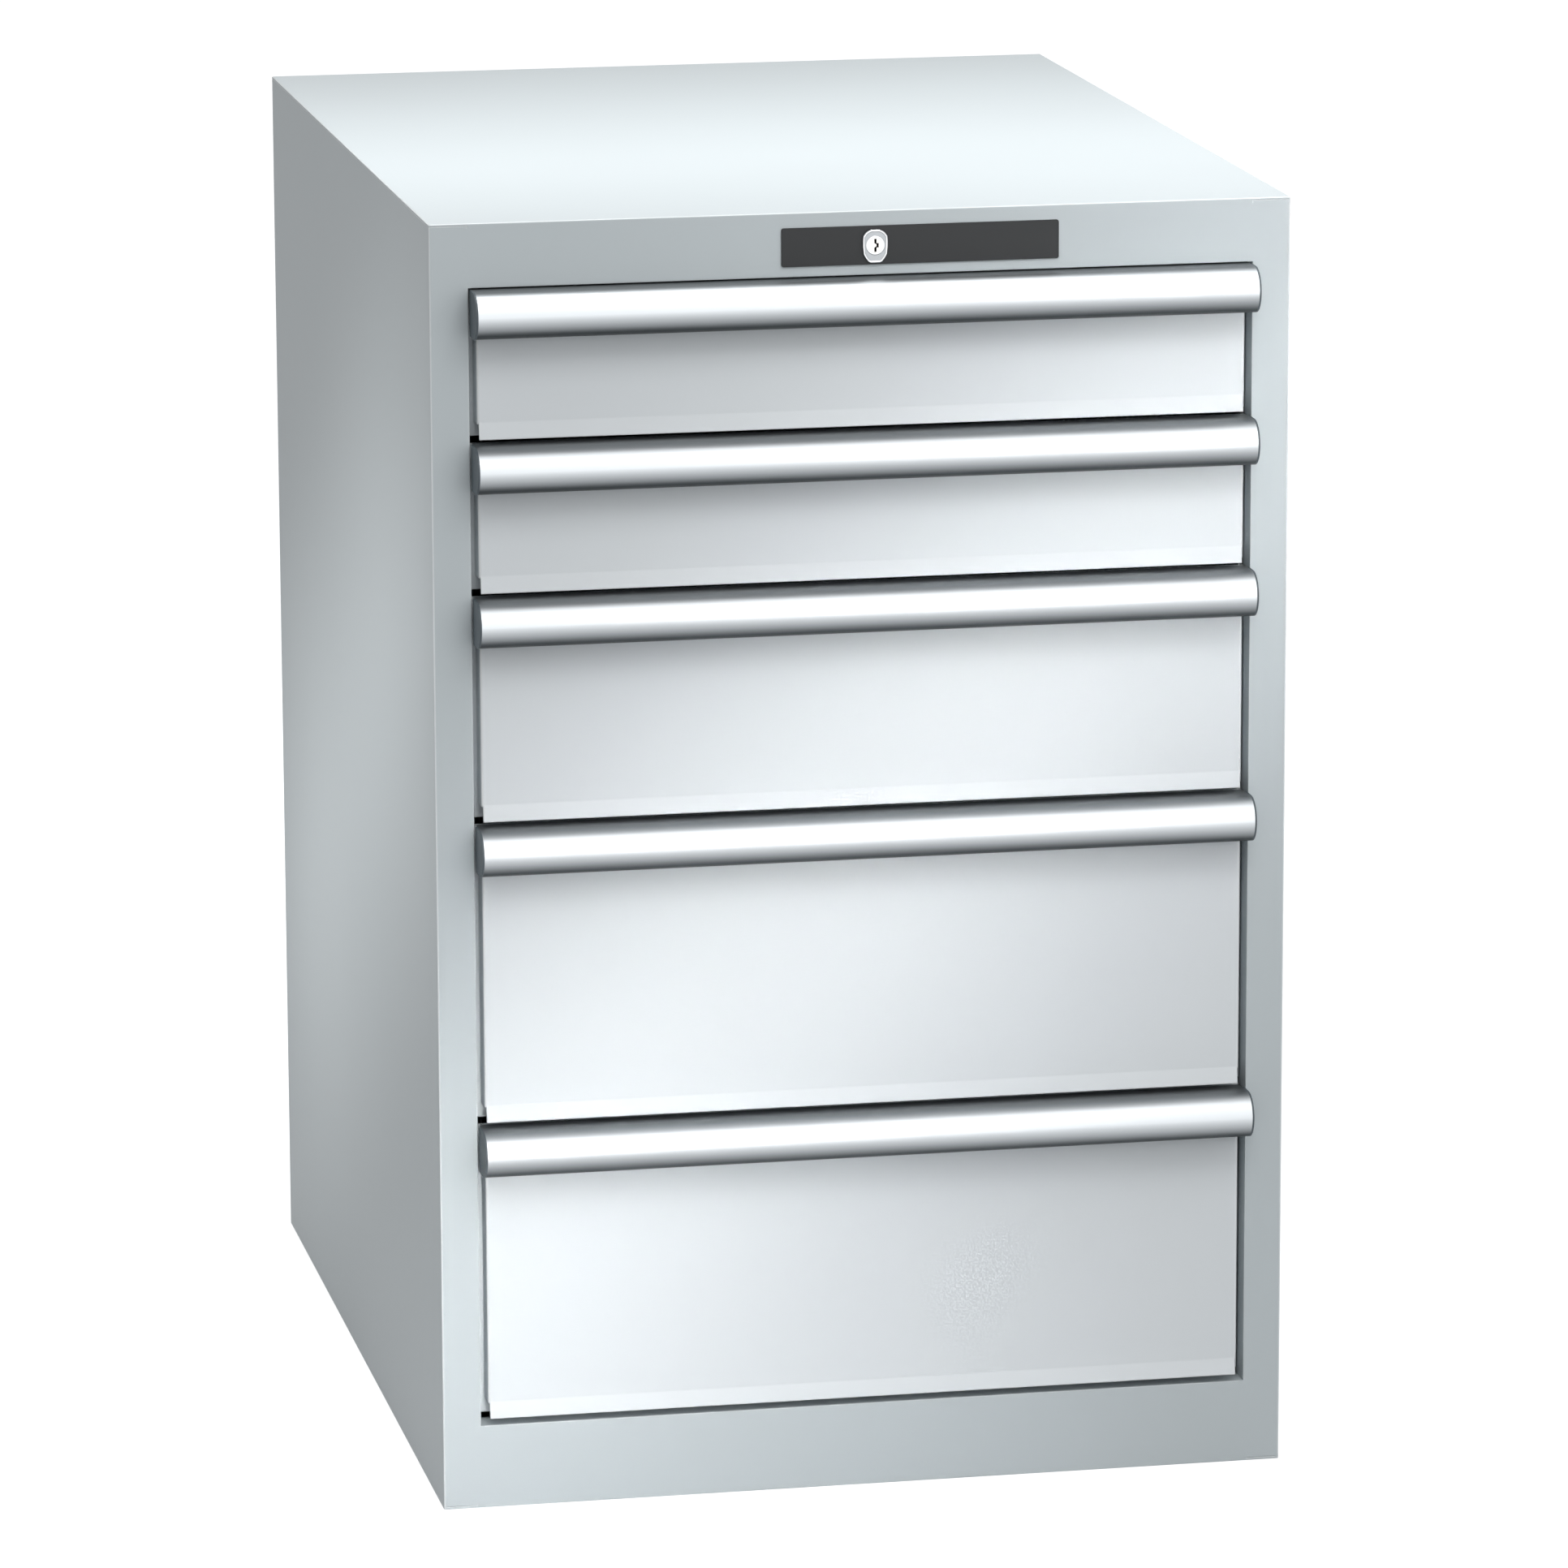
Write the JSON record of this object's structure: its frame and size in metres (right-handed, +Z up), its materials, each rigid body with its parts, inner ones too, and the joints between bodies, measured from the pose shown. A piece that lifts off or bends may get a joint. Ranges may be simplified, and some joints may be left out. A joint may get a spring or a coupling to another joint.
{
  "type": "modular drawer cabinet",
  "caption": "Free-standing steel cabinet with full-width handle drawers of graded height on full extension slides, and a central lock in the upper rail.",
  "frame": {"origin": "centre of the bounding box's footprint, on the floor, handles included", "axes": "+X right as seen from the front, +Y from the front to the back, +Z up"},
  "size_m": [0.564, 0.753, 0.85],
  "materials": {
    "housing_paint": "satin powder coat, light grey",
    "front_paint": "satin powder coat, near white grey",
    "drawer_paint": "satin powder coat, light grey",
    "handle_aluminium": "satin anodised extrusion",
    "cap_plastic": "fine moulded grain, dark grey",
    "lock_plate_plastic": "fine moulded grain, dark grey",
    "escutcheon_zinc": "satin chromed die casting",
    "lock_nickel": "nickel plated, turned",
    "zinc_steel": "zinc plated sheet, cold rolled",
    "roller_steel": "turned bearing steel"
  },
  "bodies": {
    "housing": {"right_side_wall": "housing_paint", "left_side_wall": "housing_paint", "top_panel": "housing_paint", "base_pan": "housing_paint", "back_wall": "housing_paint", "slide_uprights": "zinc_steel", "cabinet_rails": "zinc_steel", "lock_cover_plate": "lock_plate_plastic", "lock_escutcheon": "escutcheon_zinc", "lock_cylinder_case": "lock_nickel", "lock_guides": "zinc_steel"},
    "lock_plug": {"lock_plug": "lock_nickel", "lock_crank": "zinc_steel"},
    "lock_bar": {"lock_transfer_bar": "zinc_steel"},
    "lock_rod": {"lock_rod": "zinc_steel"},
    "drawer_1": {"drawer_1_front": "front_paint", "drawer_1_handle": "handle_aluminium", "drawer_1_handle_caps": "cap_plastic", "drawer_1_box": "drawer_paint", "drawer_1_rails": "zinc_steel", "drawer_1_catch": "zinc_steel"},
    "drawer_1_carriage": {"drawer_1_carriages": "zinc_steel"},
    "drawer_1_front_roller": {"drawer_1_front_rollers": "roller_steel"},
    "drawer_1_middle_roller": {"drawer_1_middle_rollers": "roller_steel"},
    "drawer_2": {"drawer_2_front": "front_paint", "drawer_2_handle": "handle_aluminium", "drawer_2_handle_caps": "cap_plastic", "drawer_2_box": "drawer_paint", "drawer_2_rails": "zinc_steel", "drawer_2_catch": "zinc_steel"},
    "drawer_2_carriage": {"drawer_2_carriages": "zinc_steel"},
    "drawer_2_front_roller": {"drawer_2_front_rollers": "roller_steel"},
    "drawer_2_middle_roller": {"drawer_2_middle_rollers": "roller_steel"},
    "drawer_3": {"drawer_3_front": "front_paint", "drawer_3_handle": "handle_aluminium", "drawer_3_handle_caps": "cap_plastic", "drawer_3_box": "drawer_paint", "drawer_3_rails": "zinc_steel", "drawer_3_catch": "zinc_steel"},
    "drawer_3_carriage": {"drawer_3_carriages": "zinc_steel"},
    "drawer_3_front_roller": {"drawer_3_front_rollers": "roller_steel"},
    "drawer_3_middle_roller": {"drawer_3_middle_rollers": "roller_steel"},
    "drawer_4": {"drawer_4_front": "front_paint", "drawer_4_handle": "handle_aluminium", "drawer_4_handle_caps": "cap_plastic", "drawer_4_box": "drawer_paint", "drawer_4_rails": "zinc_steel", "drawer_4_catch": "zinc_steel"},
    "drawer_4_carriage": {"drawer_4_carriages": "zinc_steel"},
    "drawer_4_front_roller": {"drawer_4_front_rollers": "roller_steel"},
    "drawer_4_middle_roller": {"drawer_4_middle_rollers": "roller_steel"},
    "drawer_5": {"drawer_5_front": "front_paint", "drawer_5_handle": "handle_aluminium", "drawer_5_handle_caps": "cap_plastic", "drawer_5_box": "drawer_paint", "drawer_5_rails": "zinc_steel", "drawer_5_catch": "zinc_steel"},
    "drawer_5_carriage": {"drawer_5_carriages": "zinc_steel"},
    "drawer_5_front_roller": {"drawer_5_front_rollers": "roller_steel"},
    "drawer_5_middle_roller": {"drawer_5_middle_rollers": "roller_steel"}
  },
  "joints": [
    {"name": "lock_rod_slide", "type": "slide", "parent": "housing", "child": "lock_rod", "axis": [0, 0, 1], "range_m": [0, 0.01273]},
    {"name": "lock_bar_slide", "type": "slide", "parent": "housing", "child": "lock_bar", "axis": [1, 0, 0], "range_m": [0, 0.01275]},
    {"name": "lock_turn", "type": "hinge", "parent": "housing", "child": "lock_plug", "pos_m": [0.007, -0.3485, 0.8277], "axis": [0, 1, 0], "range_deg": [0, 90]},
    {"name": "drawer_1_slide", "type": "slide", "parent": "housing", "child": "drawer_1", "axis": [0, -1, 0], "range_m": [0, 0.612]},
    {"name": "drawer_1_carriage_slide", "type": "slide", "parent": "housing", "child": "drawer_1_carriage", "axis": [0, -1, 0], "range_m": [0, 0.306]},
    {"name": "drawer_1_front_roller_spin", "type": "hinge", "parent": "drawer_1_carriage", "child": "drawer_1_front_roller", "pos_m": [0, -0.3095, 0.7315], "axis": [1, 0, 0], "continuous": true},
    {"name": "drawer_1_middle_roller_spin", "type": "hinge", "parent": "drawer_1_carriage", "child": "drawer_1_middle_roller", "pos_m": [0, 0.0055, 0.7315], "axis": [1, 0, 0], "continuous": true},
    {"name": "drawer_2_slide", "type": "slide", "parent": "housing", "child": "drawer_2", "axis": [0, -1, 0], "range_m": [0, 0.612]},
    {"name": "drawer_2_carriage_slide", "type": "slide", "parent": "housing", "child": "drawer_2_carriage", "axis": [0, -1, 0], "range_m": [0, 0.306]},
    {"name": "drawer_2_front_roller_spin", "type": "hinge", "parent": "drawer_2_carriage", "child": "drawer_2_front_roller", "pos_m": [0, -0.3095, 0.6315], "axis": [1, 0, 0], "continuous": true},
    {"name": "drawer_2_middle_roller_spin", "type": "hinge", "parent": "drawer_2_carriage", "child": "drawer_2_middle_roller", "pos_m": [0, 0.0055, 0.6315], "axis": [1, 0, 0], "continuous": true},
    {"name": "drawer_3_slide", "type": "slide", "parent": "housing", "child": "drawer_3", "axis": [0, -1, 0], "range_m": [0, 0.612]},
    {"name": "drawer_3_carriage_slide", "type": "slide", "parent": "housing", "child": "drawer_3_carriage", "axis": [0, -1, 0], "range_m": [0, 0.306]},
    {"name": "drawer_3_front_roller_spin", "type": "hinge", "parent": "drawer_3_carriage", "child": "drawer_3_front_roller", "pos_m": [0, -0.3095, 0.4815], "axis": [1, 0, 0], "continuous": true},
    {"name": "drawer_3_middle_roller_spin", "type": "hinge", "parent": "drawer_3_carriage", "child": "drawer_3_middle_roller", "pos_m": [0, 0.0055, 0.4815], "axis": [1, 0, 0], "continuous": true},
    {"name": "drawer_4_slide", "type": "slide", "parent": "housing", "child": "drawer_4", "axis": [0, -1, 0], "range_m": [0, 0.612]},
    {"name": "drawer_4_carriage_slide", "type": "slide", "parent": "housing", "child": "drawer_4_carriage", "axis": [0, -1, 0], "range_m": [0, 0.306]},
    {"name": "drawer_4_front_roller_spin", "type": "hinge", "parent": "drawer_4_carriage", "child": "drawer_4_front_roller", "pos_m": [0, -0.3095, 0.2815], "axis": [1, 0, 0], "continuous": true},
    {"name": "drawer_4_middle_roller_spin", "type": "hinge", "parent": "drawer_4_carriage", "child": "drawer_4_middle_roller", "pos_m": [0, 0.0055, 0.2815], "axis": [1, 0, 0], "continuous": true},
    {"name": "drawer_5_slide", "type": "slide", "parent": "housing", "child": "drawer_5", "axis": [0, -1, 0], "range_m": [0, 0.612]},
    {"name": "drawer_5_carriage_slide", "type": "slide", "parent": "housing", "child": "drawer_5_carriage", "axis": [0, -1, 0], "range_m": [0, 0.306]},
    {"name": "drawer_5_front_roller_spin", "type": "hinge", "parent": "drawer_5_carriage", "child": "drawer_5_front_roller", "pos_m": [0, -0.3095, 0.0815], "axis": [1, 0, 0], "continuous": true},
    {"name": "drawer_5_middle_roller_spin", "type": "hinge", "parent": "drawer_5_carriage", "child": "drawer_5_middle_roller", "pos_m": [0, 0.0055, 0.0815], "axis": [1, 0, 0], "continuous": true}
  ],
  "couplings": [
    {"joint": "lock_bar_slide", "follows": "lock_rod_slide", "ratio": 1},
    {"joint": "lock_turn", "follows": "lock_rod_slide", "rad_per_m": 123.41},
    {"joint": "drawer_1_carriage_slide", "follows": "drawer_1_slide", "ratio": 0.5},
    {"joint": "drawer_1_front_roller_spin", "follows": "drawer_1_slide", "rad_per_m": 55.556},
    {"joint": "drawer_1_middle_roller_spin", "follows": "drawer_1_slide", "rad_per_m": 55.556},
    {"joint": "drawer_2_carriage_slide", "follows": "drawer_2_slide", "ratio": 0.5},
    {"joint": "drawer_2_front_roller_spin", "follows": "drawer_2_slide", "rad_per_m": 55.556},
    {"joint": "drawer_2_middle_roller_spin", "follows": "drawer_2_slide", "rad_per_m": 55.556},
    {"joint": "drawer_3_carriage_slide", "follows": "drawer_3_slide", "ratio": 0.5},
    {"joint": "drawer_3_front_roller_spin", "follows": "drawer_3_slide", "rad_per_m": 55.556},
    {"joint": "drawer_3_middle_roller_spin", "follows": "drawer_3_slide", "rad_per_m": 55.556},
    {"joint": "drawer_4_carriage_slide", "follows": "drawer_4_slide", "ratio": 0.5},
    {"joint": "drawer_4_front_roller_spin", "follows": "drawer_4_slide", "rad_per_m": 55.556},
    {"joint": "drawer_4_middle_roller_spin", "follows": "drawer_4_slide", "rad_per_m": 55.556},
    {"joint": "drawer_5_carriage_slide", "follows": "drawer_5_slide", "ratio": 0.5},
    {"joint": "drawer_5_front_roller_spin", "follows": "drawer_5_slide", "rad_per_m": 55.556},
    {"joint": "drawer_5_middle_roller_spin", "follows": "drawer_5_slide", "rad_per_m": 55.556}
  ]
}
